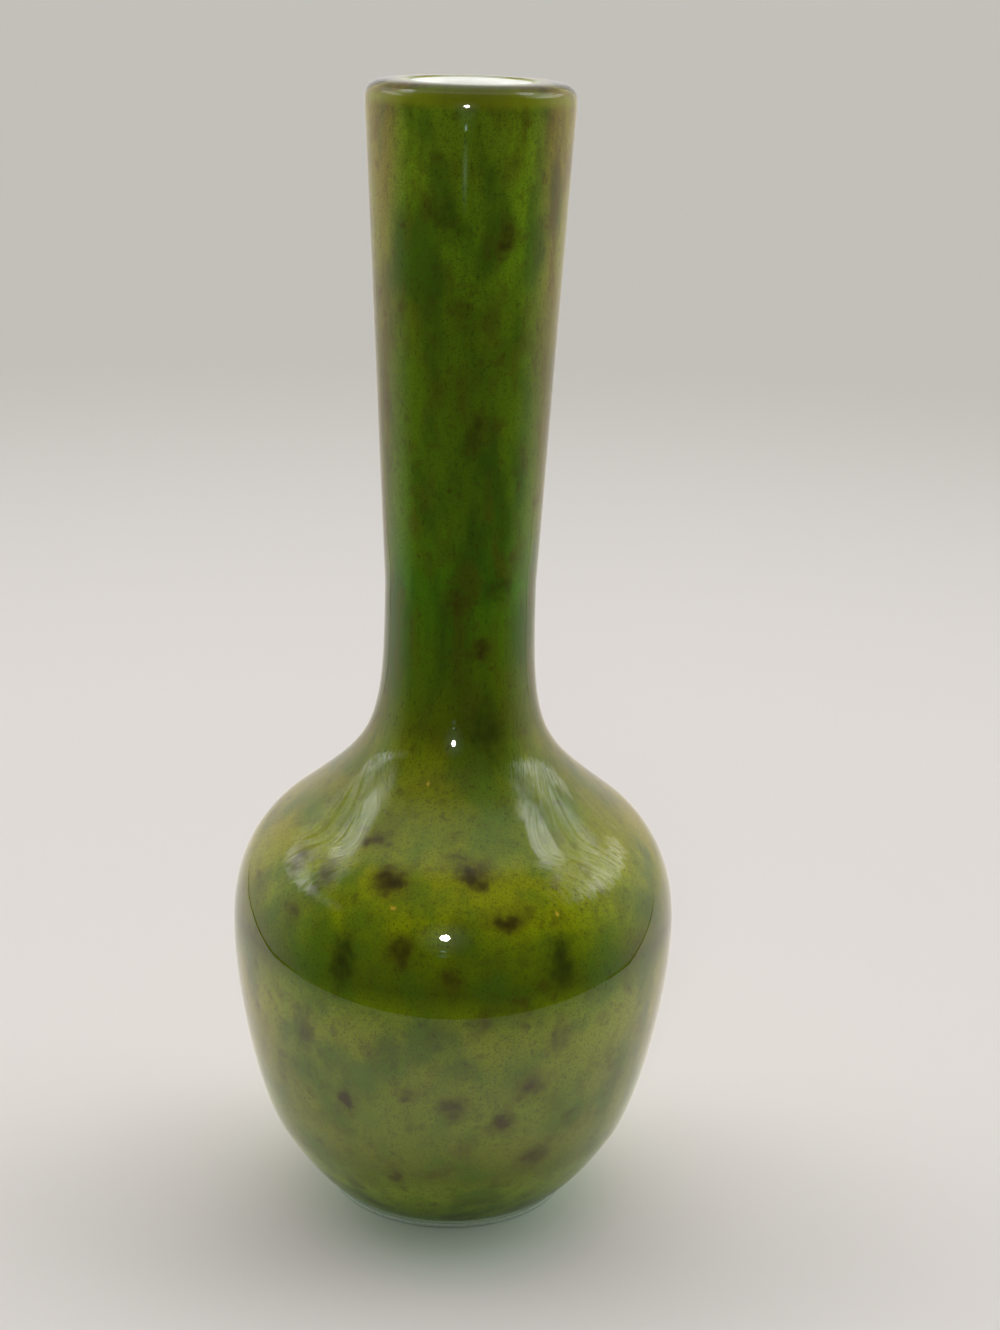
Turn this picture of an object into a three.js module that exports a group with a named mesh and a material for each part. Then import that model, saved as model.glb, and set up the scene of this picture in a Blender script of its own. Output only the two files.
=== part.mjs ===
// A free-blown bud vase in three fused layers of glass: an opal lining, a thin mottled green
// colour layer round it, and a thick clear casing that also makes the lip and the foot.
// Millimetres, +Z up. The foot stands on z = 0 and the vase is round about the Z axis.

import * as THREE from 'three';

// Outside of the clear casing.
const HEIGHT = 200;
const FOOT_RADIUS = 22.1;
const FOOT_RING_HEIGHT = 0.9;
const FOOT_RING_STEP = 0.8;
const FOOT_EDGE_ROUND = 0.3;
const HEEL_RADIUS = 32.8;
const HEEL_HEIGHT = 15;
const HEEL_SLOPE = 64.4;
const CREASE_SLOPE = 17.5;
const BELLY_RADIUS = 39.9;
const BELLY_HEIGHT = 51.7;
const SHOULDER_RADIUS = 29.6;
const SHOULDER_HEIGHT = 74.2;
const SHOULDER_SLOPE = 37.8;
const WAIST_RADIUS = 13.2;
const WAIST_HEIGHT = 115.2;
const MOUTH_RADIUS = 17.45;
const LIP_ROUND_HEIGHT = 4;
const LIP_SQUARENESS = 3;

// Polished hollow in the middle of the ground foot, where the pontil was taken off.
const PONTIL_RADIUS = 11;
const PONTIL_DEPTH = 1;

// Glass between the outside and the cavity, all three layers together.
const MOUTH_WALL = 8.65;
const NECK_WALL = 4.8;
const SHOULDER_WALL = 5;
const BELLY_WALL = 5;
const BASE_THICKNESS = 5;

// Inner edge of the mouth, where the lining and the casing meet in one rounded rim.
const BORE_ROUND = 2.6;
const BORE_ROUND_HEIGHT = 1.4;

// The two inner layers, how deep the colour layer ends under the rim, and the hairline kept
// between neighbouring solids.
const LINING_THICKNESS = 1.2;
const COLOUR_THICKNESS = 1.4;
const COLOUR_EDGE_DEPTH = 1.2;
const LAYER_GAP = 0.05;

// How far each curve's handles reach, which sets how full the curve is.
const CREASE_PULL = 3.8;
const HEEL_PULL_BELOW = 2.9;
const HEEL_PULL_ABOVE = 8.3;
const BELLY_PULL_BELOW = 11.2;
const BELLY_PULL_ABOVE = 8.4;
const SHOULDER_PULL_BELOW = 10.3;
const SHOULDER_PULL_ABOVE = 19.6;
const WAIST_PULL_BELOW = 27.2;
const FLOOR_PULL = 26;
const CAVITY_BELLY_PULL = 30;

// The bore at the rim, its round edge, which the wall limits, and the crest of the rim.
const boreRadius = MOUTH_RADIUS - MOUTH_WALL;
const boreRound = Math.min(BORE_ROUND, MOUTH_WALL / 2);
const crestRadius = boreRadius + boreRound;

// Facets round the axis, and steps along each stretch of an outline.
const FACETS = 48;
const HEEL_STEPS = 6;
const LOWER_BODY_STEPS = 5;
const FLOOR_STEPS = 8;
const UPPER_BODY_STEPS = 5;
const NECK_FOOT_STEPS = 6;
const NECK_STEPS = 2;
const LIP_STEPS = 7;
const RIM_STEPS = 3;
const PONTIL_STEPS = 3;

const point = (radius, height) => new THREE.Vector2(radius, height);

/** The point that lies a distance away along a slope, in degrees above the horizontal. */
function along(start, slope, distance) {
  const angle = THREE.MathUtils.degToRad(slope);
  return point(start.x + distance * Math.cos(angle), start.y + distance * Math.sin(angle));
}

/** One stretch of an outline: a cubic curve and the number of steps it is cut into. */
function stretch(start, startHandle, endHandle, end, steps) {
  return { curve: new THREE.CubicBezierCurve(start, startHandle, endHandle, end), steps };
}

/** The stretches from the belly over the shoulder and up the neck to the mouth. */
function upperStretches(shape) {
  const belly = point(shape.bellyRadius, BELLY_HEIGHT);
  const waist = point(shape.waistRadius, WAIST_HEIGHT);
  const mouth = point(shape.mouthRadius, shape.mouthHeight);
  const rise = 180 - SHOULDER_SLOPE;
  return [
    stretch(
      belly,
      along(belly, 90, BELLY_PULL_ABOVE),
      along(shape.shoulder, rise, -SHOULDER_PULL_BELOW),
      shape.shoulder,
      UPPER_BODY_STEPS,
    ),
    stretch(
      shape.shoulder,
      along(shape.shoulder, rise, SHOULDER_PULL_ABOVE),
      along(waist, 90, -WAIST_PULL_BELOW),
      waist,
      NECK_FOOT_STEPS,
    ),
    { curve: new THREE.LineCurve(waist, mouth), steps: NECK_STEPS },
  ];
}

/** The stretches of the outside, from the crease above the foot ring up to the lip. */
function outsideStretches() {
  const crease = point(FOOT_RADIUS - FOOT_RING_STEP, FOOT_RING_HEIGHT);
  const heel = point(HEEL_RADIUS, HEEL_HEIGHT);
  const belly = point(BELLY_RADIUS, BELLY_HEIGHT);
  return [
    stretch(
      crease,
      along(crease, CREASE_SLOPE, CREASE_PULL),
      along(heel, HEEL_SLOPE, -HEEL_PULL_BELOW),
      heel,
      HEEL_STEPS,
    ),
    stretch(
      heel,
      along(heel, HEEL_SLOPE, HEEL_PULL_ABOVE),
      along(belly, 90, -BELLY_PULL_BELOW),
      belly,
      LOWER_BODY_STEPS,
    ),
    ...upperStretches({
      bellyRadius: BELLY_RADIUS,
      shoulder: point(SHOULDER_RADIUS, SHOULDER_HEIGHT),
      waistRadius: WAIST_RADIUS,
      mouthRadius: MOUTH_RADIUS,
      mouthHeight: HEIGHT - LIP_ROUND_HEIGHT,
    }),
  ];
}

/** The stretches of the cavity, from the middle of its floor up to the rounded rim. */
function cavityStretches() {
  const floor = point(0, BASE_THICKNESS);
  const belly = point(BELLY_RADIUS - BELLY_WALL, BELLY_HEIGHT);
  const shoulder = along(point(SHOULDER_RADIUS, SHOULDER_HEIGHT), 90 - SHOULDER_SLOPE, -SHOULDER_WALL);
  return [
    stretch(
      floor,
      along(floor, 0, FLOOR_PULL),
      along(belly, 90, -CAVITY_BELLY_PULL),
      belly,
      FLOOR_STEPS,
    ),
    ...upperStretches({
      bellyRadius: belly.x,
      shoulder,
      waistRadius: WAIST_RADIUS - NECK_WALL,
      mouthRadius: boreRadius,
      mouthHeight: HEIGHT - BORE_ROUND_HEIGHT,
    }),
  ];
}

/** Points along the stretches, each pushed square to the outline, away from the axis. */
function sampled(stretches, distance) {
  const points = [];
  stretches.forEach(({ curve, steps }, index) => {
    for (let step = index === 0 ? 0 : 1; step <= steps; step += 1) {
      const place = curve.getPoint(step / steps);
      const direction = curve.getTangent(step / steps);
      points.push(point(place.x + distance * direction.y, place.y - distance * direction.x));
    }
  });
  return points;
}

/** The height of the rim's round inner edge at a radius, which is the full height at its crest. */
function rimHeight(radius) {
  const reach = Math.max(0, crestRadius - radius);
  return HEIGHT - BORE_ROUND_HEIGHT * (1 - Math.sqrt(1 - (reach / boreRound) ** 2));
}

/** Points along the rim's inner edge from one radius to another, at a depth under its surface. */
function rimPoints(fromRadius, toRadius, depth) {
  return Array.from({ length: RIM_STEPS + 1 }, (_, step) => {
    const radius = THREE.MathUtils.lerp(fromRadius, toRadius, step / RIM_STEPS);
    return point(radius, rimHeight(radius) - depth);
  });
}

/** A surface at a distance outside the cavity, from the axis up to just under the rim. */
function nestedSurface(distance) {
  const points = sampled(cavityStretches(), distance);
  points[0].x = 0;
  points.pop();
  return points;
}

/** The closed outline of a layer round the cavity, which ends at a depth under the rim. */
function layerOutline(innerDistance, outerDistance, depth) {
  return [
    ...nestedSurface(outerDistance),
    ...rimPoints(boreRadius + outerDistance, boreRadius + innerDistance, depth),
    ...nestedSurface(innerDistance).reverse(),
  ];
}

/** The underside of the casing: the pontil hollow, the ground flat and the foot ring. */
function footPoints() {
  const hollow = Array.from({ length: PONTIL_STEPS + 1 }, (_, step) => {
    const share = step / PONTIL_STEPS;
    return point(PONTIL_RADIUS * share, PONTIL_DEPTH * (1 - share ** 2));
  });
  return [
    ...hollow,
    point(FOOT_RADIUS - FOOT_EDGE_ROUND, 0),
    point(FOOT_RADIUS, FOOT_EDGE_ROUND),
    point(FOOT_RADIUS, FOOT_RING_HEIGHT - FOOT_EDGE_ROUND),
  ];
}

/** The thick lip, from the top of the neck over its squarish shoulder to the rim's crest. */
function lipPoints() {
  const power = 2 / LIP_SQUARENESS;
  return Array.from({ length: LIP_STEPS }, (_, step) => {
    const angle = ((step + 1) / LIP_STEPS) * (Math.PI / 2);
    const outward = Math.max(0, Math.cos(angle)) ** power;
    const upward = Math.sin(angle) ** power;
    return point(
      THREE.MathUtils.lerp(crestRadius, MOUTH_RADIUS, outward),
      HEIGHT - LIP_ROUND_HEIGHT * (1 - upward),
    );
  });
}

/** The closed outline of the casing, which wraps over the colour layer's edge to the lining. */
function casingOutline(innerDistance, rimDistance) {
  return [
    ...footPoints(),
    ...sampled(outsideStretches(), 0),
    ...lipPoints(),
    ...rimPoints(crestRadius, boreRadius + rimDistance, 0).slice(1),
    ...rimPoints(boreRadius + rimDistance, boreRadius + innerDistance, COLOUR_EDGE_DEPTH - LAYER_GAP),
    ...nestedSurface(innerDistance).reverse(),
  ];
}

/** Turns a closed outline of radii and heights about the Z axis. */
function turned(name, outline, material) {
  const geometry = new THREE.LatheGeometry(outline, FACETS);
  geometry.rotateX(Math.PI / 2);
  const mesh = new THREE.Mesh(geometry, material);
  mesh.name = name;
  return mesh;
}

const clearGlass = new THREE.MeshStandardMaterial({
  color: 0xdfe8dc,
  roughness: 0.03,
  metalness: 0,
  transparent: true,
  opacity: 0.35,
});
const greenGlass = new THREE.MeshStandardMaterial({ color: 0x4f6b1a, roughness: 0.25, metalness: 0 });
const opalGlass = new THREE.MeshStandardMaterial({ color: 0xf0efe6, roughness: 0.12, metalness: 0 });

const liningOutside = LINING_THICKNESS;
const colourInside = liningOutside + LAYER_GAP;
const colourOutside = colourInside + COLOUR_THICKNESS;
const casingInside = colourOutside + LAYER_GAP;

const vase = new THREE.Group();
vase.add(turned('opal_lining', layerOutline(0, liningOutside, 0), opalGlass));
vase.add(
  turned('green_colour_layer', layerOutline(colourInside, colourOutside, COLOUR_EDGE_DEPTH), greenGlass),
);
vase.add(turned('clear_casing', casingOutline(casingInside, colourInside), clearGlass));

export default vase;
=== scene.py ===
"""A bottle-shaped bud vase of cased glass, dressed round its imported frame.

Metres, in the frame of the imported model: the foot stands on z = 0, +Z runs up the axis of the
vase, and the camera looks along +Y. Azimuths are degrees round the axis, 0 towards the camera
and 90 towards +X.
"""

import logging
import math
from dataclasses import dataclass
from enum import Enum
from typing import Any, Sequence

import bpy
from mathutils import Matrix, Vector

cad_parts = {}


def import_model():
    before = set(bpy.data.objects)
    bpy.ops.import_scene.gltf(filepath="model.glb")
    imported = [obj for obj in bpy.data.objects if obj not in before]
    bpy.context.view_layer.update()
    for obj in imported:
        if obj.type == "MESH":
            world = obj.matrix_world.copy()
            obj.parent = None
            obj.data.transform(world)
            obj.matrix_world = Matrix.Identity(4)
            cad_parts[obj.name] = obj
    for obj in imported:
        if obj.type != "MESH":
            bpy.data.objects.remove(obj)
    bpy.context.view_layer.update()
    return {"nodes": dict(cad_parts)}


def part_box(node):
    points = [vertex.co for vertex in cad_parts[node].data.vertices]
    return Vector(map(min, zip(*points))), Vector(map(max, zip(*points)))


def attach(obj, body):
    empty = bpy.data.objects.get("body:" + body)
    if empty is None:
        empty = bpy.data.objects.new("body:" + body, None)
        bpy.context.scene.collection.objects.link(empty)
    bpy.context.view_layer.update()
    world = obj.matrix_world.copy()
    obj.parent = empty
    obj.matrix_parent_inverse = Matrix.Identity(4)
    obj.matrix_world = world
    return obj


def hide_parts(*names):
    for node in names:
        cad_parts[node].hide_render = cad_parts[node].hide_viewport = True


frame: dict[str, Any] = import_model()

BODY = "root"
ON_AXIS = 1e-7
log = logging.getLogger("bud_vase")

Colour = tuple[float, float, float]
Span = tuple[float, float]
Triple = tuple[float, float, float]
Material = bpy.types.Material
Node = bpy.types.Node
Object = bpy.types.Object
Socket = bpy.types.NodeSocket
Tree = bpy.types.NodeTree

NOISE_MEAN = 0.5


def linear(*screen: int) -> Colour:
    """The linear colour of a screen's red, green and blue, which run from 0 to 255."""
    tones = (channel / 255 for channel in screen)
    return tuple(tone / 12.92 if tone <= 0.04045 else ((tone + 0.055) / 1.055) ** 2.4 for tone in tones)


def toward(azimuth: float) -> Vector:
    """The level unit vector at an azimuth in degrees."""
    angle = math.radians(azimuth)
    return Vector((math.sin(angle), -math.cos(angle), 0.0))


def scaled(colour: Colour, level: float) -> Colour:
    """A colour at another brightness."""
    return tuple(channel * level for channel in colour)


def shares(steps: int) -> list[float]:
    """Shares of a whole from 0 to 1, in equal steps."""
    return [step / steps for step in range(steps + 1)]


class Kind(Enum):
    """What a Mix node blends, in the order of its pairs of inputs and of its outputs."""

    NUMBER = "FLOAT"
    VECTOR = "VECTOR"
    COLOUR = "RGBA"


class Wiring:
    """Adds nodes to one shader tree and joins them up."""

    def __init__(self, tree: Tree) -> None:
        """Keeps the tree that the nodes go into."""
        self.tree = tree

    def add(self, kind: str, *values: Any, **settings: Any) -> Node:
        """Adds a node.

        Args:
            kind: The node's type name.
            *values: The sources of its first inputs in order. None leaves one as it is.
            **settings: Properties to set on the node.

        Returns:
            The new node.
        """
        node = self.tree.nodes.new(kind)
        for name, value in settings.items():
            setattr(node, name, value)
        return self.fill(node, *values)

    def feed(self, socket: Socket, value: Any) -> None:
        """Gives a socket its source.

        Args:
            socket: The input socket.
            value: Another node's output socket, a number, a vector or a colour.
        """
        if isinstance(value, Socket):
            self.tree.links.new(value, socket)
        elif socket.type == "RGBA" and len(value) == 3:
            socket.default_value = (*value, 1.0)
        else:
            socket.default_value = value

    def fill(self, node: Node, *values: Any, **named: Any) -> Node:
        """Gives a node's inputs their sources.

        Args:
            node: The node.
            *values: The sources of its first inputs in order. None leaves one as it is.
            **named: The sources of named inputs, with _ for a space in their names.

        Returns:
            The same node.
        """
        for socket, value in zip(node.inputs, values):
            if value is not None:
                self.feed(socket, value)
        for name, value in named.items():
            self.feed(node.inputs[name.replace("_", " ")], value)
        return node

    def math(self, operation: str, *values: Any) -> Socket:
        """A Math node's result, from numbers or sockets."""
        return self.add("ShaderNodeMath", *values, operation=operation).outputs[0]

    def times(self, first: Any, second: Any) -> Socket:
        """The product of two numbers."""
        return self.math("MULTIPLY", first, second)

    def vector(self, operation: str, *values: Any) -> Socket:
        """A Vector Math node's result, which is a number for LENGTH and DISTANCE."""
        node = self.add("ShaderNodeVectorMath", *values, operation=operation)
        return node.outputs["Value" if operation in ("LENGTH", "DISTANCE") else "Vector"]

    def scale(self, vector: Any, factor: Any) -> Socket:
        """A vector or a colour times a number."""
        return self.vector("SCALE", vector, None, None, factor)

    def step(self, value: Any, low: float, high: float, top: float = 1.0) -> Socket:
        """A smooth step from 0 at low, which may lie above high, to its top at high."""
        ends = (low, high, 0.0, top) if low < high else (high, low, top, 0.0)
        return self.add("ShaderNodeMapRange", value, *ends, interpolation_type="SMOOTHSTEP").outputs[0]

    def mix(self, share: Any, first: Any, second: Any, kind: Kind = Kind.COLOUR) -> Socket:
        """A blend of two colours, numbers or vectors, of which the second shows by the share."""
        at, node = list(Kind).index(kind), self.add("ShaderNodeMix", data_type=kind.value)
        return self.fill(node, share, *[None] * (2 * at + 1), first, second).outputs[at]

    def mix_shaders(self, share: Socket, first: Node, second: Node) -> Node:
        """A blend of two shader nodes, of which the second shows by the share."""
        return self.add("ShaderNodeMixShader", share, first.outputs[0], second.outputs[0])

    def noise(
        self, place: Any, size: Any, detail: float, roughness: float = 0.5, output: str = "Fac"
    ) -> Socket:
        """Soft noise, 0 to 1 about a mean of a half.

        Args:
            place: The vector that is read.
            size: How wide one cloud of the noise is, a number of metres or a socket.
            detail: How many finer layers are added.
            roughness: How strongly the finer layers show.
            output: Fac for one number or Color for three.

        Returns:
            The output socket.
        """
        scale = self.math("DIVIDE", 1.0, size) if isinstance(size, Socket) else 1 / size
        node = self.add("ShaderNodeTexNoise")
        self.fill(node, Vector=place, Scale=scale, Detail=detail, Roughness=roughness)
        return node.outputs[output]

    def place(self) -> Socket:
        """Where the shaded point is, in metres."""
        return self.add("ShaderNodeTexCoord").outputs["Object"]

    def parts(self, vector: Socket) -> tuple[Socket, ...]:
        """A vector's three numbers."""
        return tuple(self.add("ShaderNodeSeparateXYZ", vector).outputs)

    def from_oval(self, place: Socket, centre: Triple, turn: Triple, radii: Triple) -> Socket:
        """How far a point lies from an oval's middle, 1 on its edge. The turn is in degrees."""
        oval = (place, centre, tuple(map(math.radians, turn)), radii)
        return self.vector("LENGTH", self.add("ShaderNodeMapping", *oval, vector_type="TEXTURE").outputs[0])

    def bump(self, height: Socket, depth: float) -> Socket:
        """The normals of a surface with a relief, whose full depth is in metres."""
        return self.fill(self.add("ShaderNodeBump"), Height=height, Distance=depth).outputs["Normal"]

    def group(self, tree: Tree, **values: Any) -> Socket:
        """The output of a node group, from its named inputs."""
        return self.fill(self.add("ShaderNodeGroup", node_tree=tree), **values).outputs[0]


def new_material(name: str) -> tuple[Material, Wiring, Node]:
    """Makes a material.

    Args:
        name: Its name.

    Returns:
        The material, the wiring of its tree and its Principled node.
    """
    material = bpy.data.materials.new(name)
    material.use_nodes = True
    return material, Wiring(material.node_tree), material.node_tree.nodes["Principled BSDF"]


def new_object(name: str, points: Sequence[Vector | Triple], faces: Sequence[Sequence[int]]) -> Object:
    """Makes a mesh object in the scene.

    Args:
        name: Its name.
        points: Its corners.
        faces: The corners' numbers for each face.

    Returns:
        The object.
    """
    mesh = bpy.data.meshes.new(name)
    mesh.from_pydata(points, [], faces)
    made = bpy.data.objects.new(name, mesh)
    bpy.context.scene.collection.objects.link(made)
    return made


class Effect:
    """A shader node group that several finishes share, built once."""

    def __init__(self, name: str, output: str, **inputs: Any) -> None:
        """Makes the empty group and its sockets.

        Args:
            name: The group's name.
            output: The name of its output, a number.
            **inputs: Each input's default, with _ for a space in its name. A tuple makes a
                vector input and a number makes a number input.
        """
        self.tree = bpy.data.node_groups.new(name, "ShaderNodeTree")
        for label, default in inputs.items():
            kind = "NodeSocketVector" if isinstance(default, tuple) else "NodeSocketFloat"
            label = label.replace("_", " ")
            socket = self.tree.interface.new_socket(label, in_out="INPUT", socket_type=kind)
            socket.default_value = default
        self.tree.interface.new_socket(output, in_out="OUTPUT", socket_type="NodeSocketFloat")
        self.net = Wiring(self.tree)
        self.source = self.net.add("NodeGroupInput").outputs

    def finish(self, result: Socket) -> Tree:
        """Joins the result to the group's output and returns the group."""
        self.net.add("NodeGroupOutput", result)
        return self.tree


class SharedEffects:
    """The effects that more than one layer of glass shows."""

    grain_detail: float = 3.0
    grain_roughness: float = 0.65
    grain_edge: Span = (0.0, 0.16)
    ripple_detail: float = 1.0
    ripple_draw: Triple = (1.0, 1.0, 0.5)

    def __init__(self) -> None:
        """Builds both groups."""
        self.powder_grain = self.build_powder_grain()
        self.blown_ripple = self.build_blown_ripple()

    def build_powder_grain(self) -> Tree:
        """Specks of unmelted powder: 0 between the specks and 1 on them.

        Returns:
            The group, with the inputs Place, Grain Size and Cover and the output Grain.
        """
        effect = Effect("powder_grain", "Grain", Place=(0.0, 0.0, 0.0), Grain_Size=0.0006, Cover=0.5)
        net, source = effect.net, effect.source
        noise = net.noise(source["Place"], source["Grain Size"], self.grain_detail, self.grain_roughness)
        bare = net.math("SUBTRACT", 1.0, source["Cover"])
        return effect.finish(net.step(net.math("SUBTRACT", noise, bare), *self.grain_edge))

    def build_blown_ripple(self) -> Tree:
        """The slow waves that blowing and turning leave in a fire-polished surface.

        Returns:
            The group, with the inputs Place and Wave Size and the output Height, 0 to 1.
        """
        effect = Effect("blown_ripple", "Height", Place=(0.0, 0.0, 0.0), Wave_Size=0.02)
        drawn = effect.net.vector("MULTIPLY", effect.source["Place"], self.ripple_draw)
        return effect.finish(effect.net.noise(drawn, effect.source["Wave Size"], self.ripple_detail))


@dataclass(frozen=True)
class Clouds:
    """Soft patches: their size in metres, their finer layers and the noise levels of their edge."""

    size: float
    detail: float
    edge: Span

    def mask(self, net: Wiring, place: Socket) -> Socket:
        """Where the patches lie, 0 to 1."""
        return net.step(net.noise(place, self.size, self.detail), *self.edge)


@dataclass(frozen=True)
class Grain:
    """Powder on a layer: its size in metres, how much it covers and how strongly it shows."""

    size: float
    cover: float
    share: float = 1.0

    def mask(self, net: Wiring, place: Socket, effects: SharedEffects) -> Socket:
        """Where the specks lie, 0 to 1."""
        return net.group(effects.powder_grain, Place=place, Grain_Size=self.size, Cover=self.cover)


@dataclass(frozen=True)
class Spots:
    """Spots strewn at random: the spacing of their places, in metres, the radius of a middling
    spot, the share of the places that hold one, and the smallest, faintest and edge as shares.
    """

    spacing: float
    radius: float
    held: float
    smallest: float = 0.5
    faintest: float = 0.5
    edge: Span = (1.3, 0.2)

    def mask(self, net: Wiring, place: Socket) -> Socket:
        """Lays out the spots.

        Args:
            net: The material's wiring.
            place: Where the shaded point is.

        Returns:
            A mask, 0 between the spots and up to 1 inside them.
        """
        cells = net.fill(net.add("ShaderNodeTexVoronoi"), Vector=place, Scale=1 / self.spacing).outputs
        red, green, blue = net.add("ShaderNodeSeparateColor", cells["Color"]).outputs
        size = self.radius / self.spacing
        radius = net.math("MULTIPLY_ADD", green, size, size * self.smallest)
        away = net.math("DIVIDE", cells["Distance"], radius)
        held = net.math("LESS_THAN", red, self.held)
        strength = net.math("MULTIPLY_ADD", blue, 1 - self.faintest, self.faintest)
        return net.times(net.times(held, strength), net.step(away, *self.edge))


@dataclass(frozen=True)
class Stretch:
    """One cubic stretch of an outline, in radii and heights, cut into steps."""

    start: Vector
    start_handle: Vector
    end_handle: Vector
    end: Vector
    steps: int

    def point(self, share: float, distance: float) -> Vector:
        """Finds a point of the stretch, pushed square to it, away from the axis.

        Args:
            share: How far along it lies, 0 to 1.
            distance: How far it is pushed.

        Returns:
            Its radius and height.
        """
        rest = 1 - share
        place = (
            self.start * rest**3
            + self.start_handle * (3 * share * rest**2)
            + self.end_handle * (3 * share**2 * rest)
            + self.end * share**3
        )
        slope = (
            (self.start_handle - self.start) * rest**2
            + (self.end_handle - self.start_handle) * (2 * share * rest)
            + (self.end - self.end_handle) * share**2
        )
        way = slope.normalized()
        return place + distance * Vector((way.y, -way.x))


def along(start: Vector, slope: float, distance: float) -> Vector:
    """The point a distance away along a slope, in degrees above the horizontal."""
    angle = math.radians(slope)
    return start + distance * Vector((math.cos(angle), math.sin(angle)))


def curve(
    start: Vector, slope: float, pull: float, end: Vector, end_slope: float, end_pull: float, steps: int
) -> Stretch:
    """A stretch between two points, with the slope at each and how far its handle reaches."""
    return Stretch(start, along(start, slope, pull), along(end, end_slope, -end_pull), end, steps)


@dataclass(frozen=True)
class VaseShape:
    """The vase's outlines, as radii and heights that all three layers share."""

    height: float
    belly_radius: float
    foot_radius: float = 0.0221
    foot_ring_height: float = 0.0009
    foot_ring_step: float = 0.0008
    foot_edge_round: float = 0.0001
    heel_radius: float = 0.0328
    heel_height: float = 0.015
    heel_slope: float = 64.4
    crease_slope: float = 17.5
    belly_height: float = 0.0517
    shoulder_radius: float = 0.0296
    shoulder_height: float = 0.0742
    shoulder_slope: float = 37.8
    waist_radius: float = 0.0132
    waist_height: float = 0.1152
    mouth_radius: float = 0.01745
    lip_round_height: float = 0.004
    lip_squareness: float = 3.6
    pontil_radius: float = 0.011
    pontil_depth: float = 0.001
    mouth_wall: float = 0.00865
    neck_wall: float = 0.0048
    shoulder_wall: float = 0.005
    belly_wall: float = 0.005
    base_thickness: float = 0.005
    bore_round: float = 0.0026
    bore_round_height: float = 0.0014
    crease_pull: float = 0.0038
    heel_pull_below: float = 0.0029
    heel_pull_above: float = 0.0083
    belly_pull_below: float = 0.0112
    belly_pull_above: float = 0.0084
    shoulder_pull_below: float = 0.0103
    shoulder_pull_above: float = 0.0196
    waist_pull_below: float = 0.0272
    floor_pull: float = 0.026
    cavity_belly_pull: float = 0.030
    heel_steps: int = 18
    lower_body_steps: int = 26
    floor_steps: int = 40
    upper_body_steps: int = 24
    neck_foot_steps: int = 36
    neck_steps: int = 24
    rim_steps: int = 10
    pontil_steps: int = 12
    foot_edge_steps: int = 3
    lip_steps: int = 24

    @property
    def bore_radius(self) -> float:
        """Radius of the bore at the rim."""
        return self.mouth_radius - self.mouth_wall

    @property
    def crest_radius(self) -> float:
        """Radius of the rim's crest."""
        return self.bore_radius + self.bore_round

    def upper(self, belly: Vector, shoulder: Vector, waist: Vector, mouth: Vector) -> list[Stretch]:
        """The stretches from the belly over the shoulder and up the neck.

        Args:
            belly: Radius and height of the belly's widest place.
            shoulder: A point on the shoulder.
            waist: The narrowest place of the neck.
            mouth: The top of the neck.

        Returns:
            Three stretches, from the bottom up.
        """
        rise = 180 - self.shoulder_slope
        below, above = self.shoulder_pull_below, self.shoulder_pull_above
        return [
            curve(belly, 90, self.belly_pull_above, shoulder, rise, below, self.upper_body_steps),
            curve(shoulder, rise, above, waist, 90, self.waist_pull_below, self.neck_foot_steps),
            Stretch(waist, waist.lerp(mouth, 1 / 3), waist.lerp(mouth, 2 / 3), mouth, self.neck_steps),
        ]

    def outside(self) -> list[Stretch]:
        """Outlines the outside.

        Returns:
            The stretches from the crease above the foot ring to the lip.
        """
        crease = Vector((self.foot_radius - self.foot_ring_step, self.foot_ring_height))
        heel = Vector((self.heel_radius, self.heel_height))
        belly = Vector((self.belly_radius, self.belly_height))
        rise, below, above = self.heel_slope, self.heel_pull_below, self.heel_pull_above
        return [
            curve(crease, self.crease_slope, self.crease_pull, heel, rise, below, self.heel_steps),
            curve(heel, rise, above, belly, 90, self.belly_pull_below, self.lower_body_steps),
            *self.upper(
                belly,
                Vector((self.shoulder_radius, self.shoulder_height)),
                Vector((self.waist_radius, self.waist_height)),
                Vector((self.mouth_radius, self.height - self.lip_round_height)),
            ),
        ]

    def cavity(self) -> list[Stretch]:
        """Outlines the cavity.

        Returns:
            The stretches from the middle of its floor to the rounded rim.
        """
        floor = Vector((0.0, self.base_thickness))
        belly = Vector((self.belly_radius - self.belly_wall, self.belly_height))
        shoulder = Vector((self.shoulder_radius, self.shoulder_height))
        return [
            curve(floor, 0, self.floor_pull, belly, 90, self.cavity_belly_pull, self.floor_steps),
            *self.upper(
                belly,
                along(shoulder, 90 - self.shoulder_slope, -self.shoulder_wall),
                Vector((self.waist_radius - self.neck_wall, self.waist_height)),
                Vector((self.bore_radius, self.height - self.bore_round_height)),
            ),
        ]

    @staticmethod
    def sampled(stretches: Sequence[Stretch], distance: float) -> list[Vector]:
        """Points along stretches, each pushed square to the outline, away from the axis.

        Args:
            stretches: The stretches, end to end.
            distance: How far the points are pushed.

        Returns:
            The points, from the first stretch's start to the last one's end.
        """
        points = [stretches[0].point(0.0, distance)]
        for stretch in stretches:
            points += [stretch.point(share, distance) for share in shares(stretch.steps)[1:]]
        return points

    def rim_height(self, radius: float) -> float:
        """The height of the rim's round inner edge at a radius."""
        reach = max(0.0, self.crest_radius - radius) / self.bore_round
        return self.height - self.bore_round_height * (1 - math.sqrt(max(0.0, 1 - reach**2)))

    def rim(self, start: float, end: float, cover: float) -> list[Vector]:
        """Points over the rim from one radius to another, at a depth under its surface."""
        radii = [start + (end - start) * share for share in shares(self.rim_steps)]
        return [Vector((radius, self.rim_height(radius) - cover)) for radius in radii]

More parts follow.
